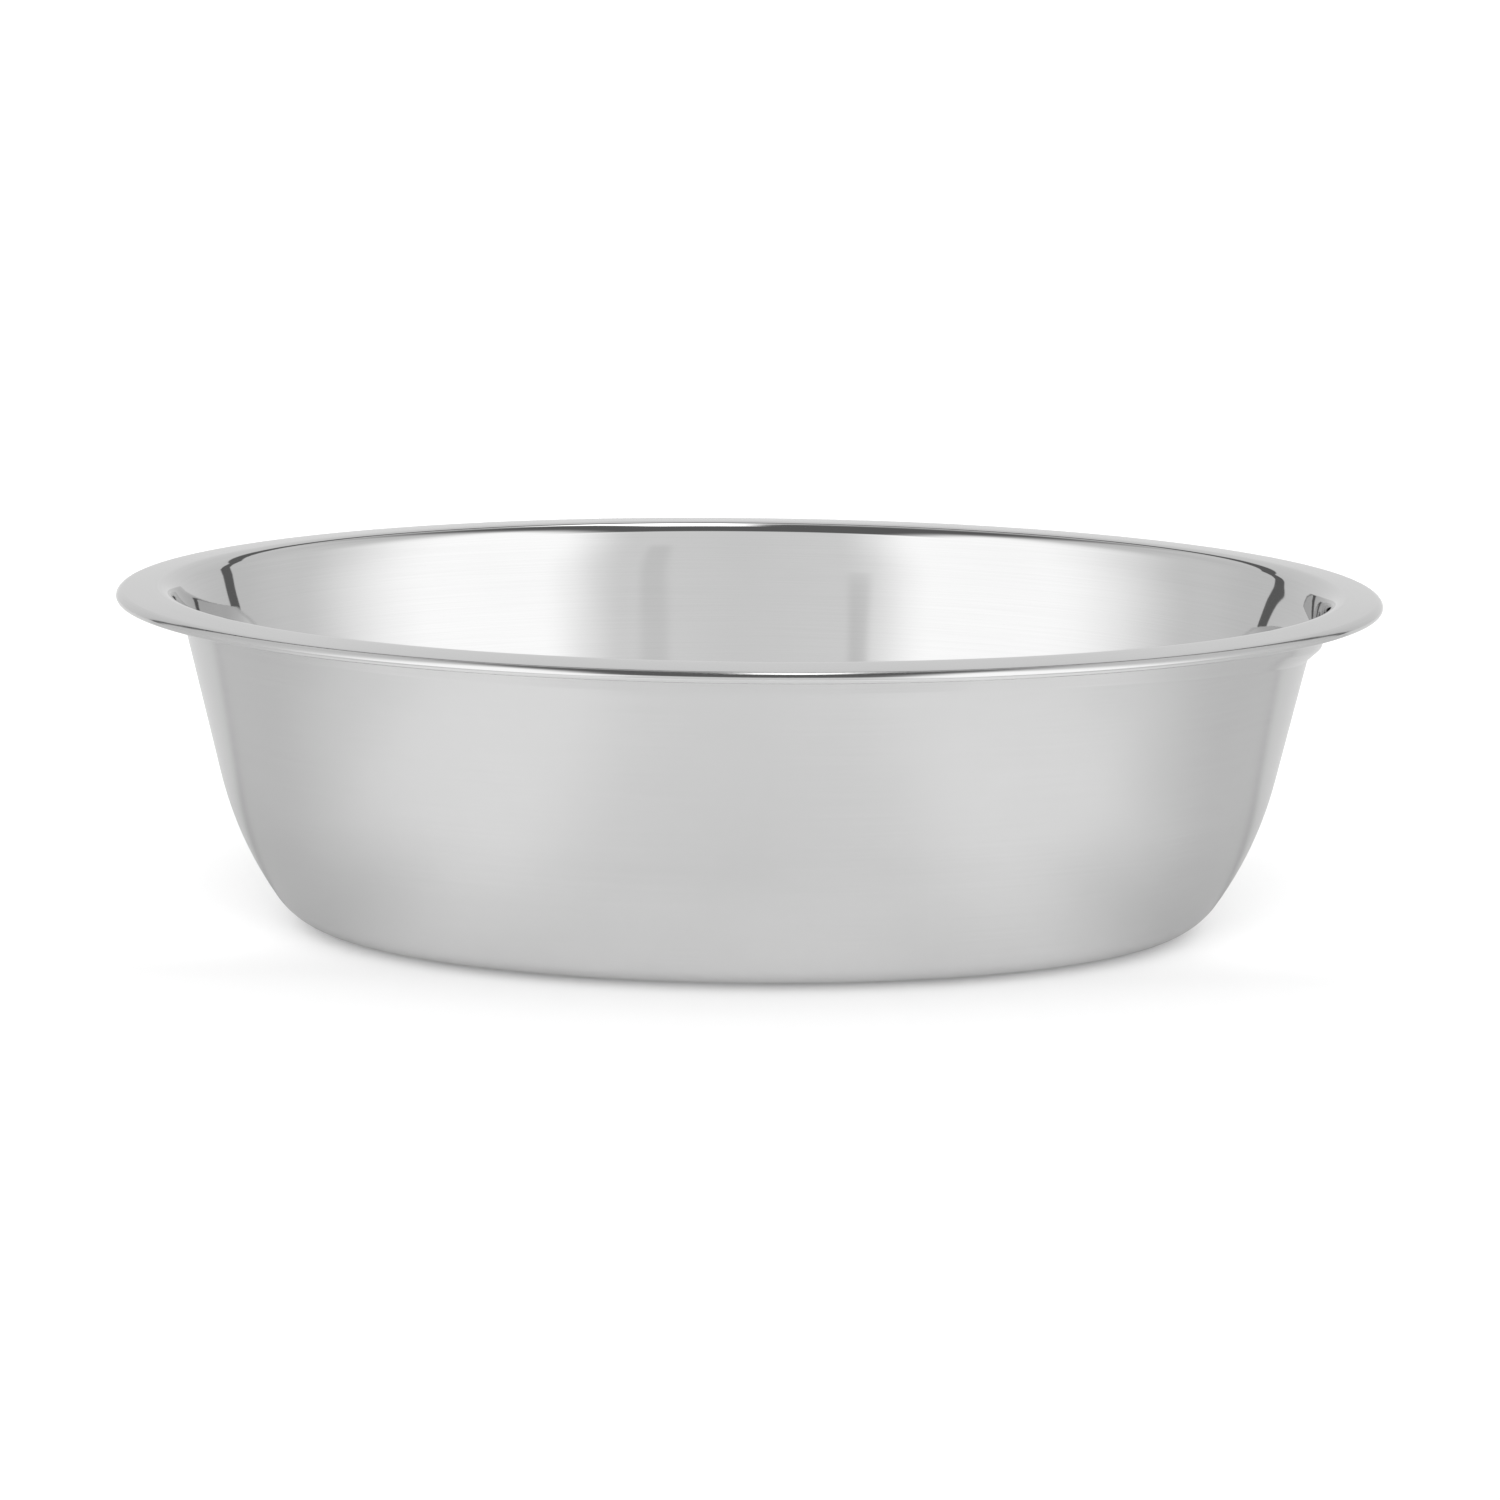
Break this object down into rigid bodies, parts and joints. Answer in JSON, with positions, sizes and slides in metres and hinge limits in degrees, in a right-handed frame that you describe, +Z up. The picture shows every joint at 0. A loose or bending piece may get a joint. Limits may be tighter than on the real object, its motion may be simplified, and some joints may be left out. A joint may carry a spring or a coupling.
{
  "type": "pedicure foot bath",
  "caption": "Oval stainless steel foot basin with a flat floor, steep walls, a stepped neck and a wide rim with a curled edge.",
  "frame": {"origin": "on the table, under the centre of the rim's outline", "axes": "+X along the basin's length towards the end with the slightly narrower rim and deeper neck, +Y across it, +Z up"},
  "size_m": [0.457, 0.31, 0.127],
  "materials": {
    "stainless_steel": "fine satin outside and on the rim, brighter polish inside"
  },
  "bodies": {
    "root": {"basin": "stainless_steel"}
  },
  "joints": []
}
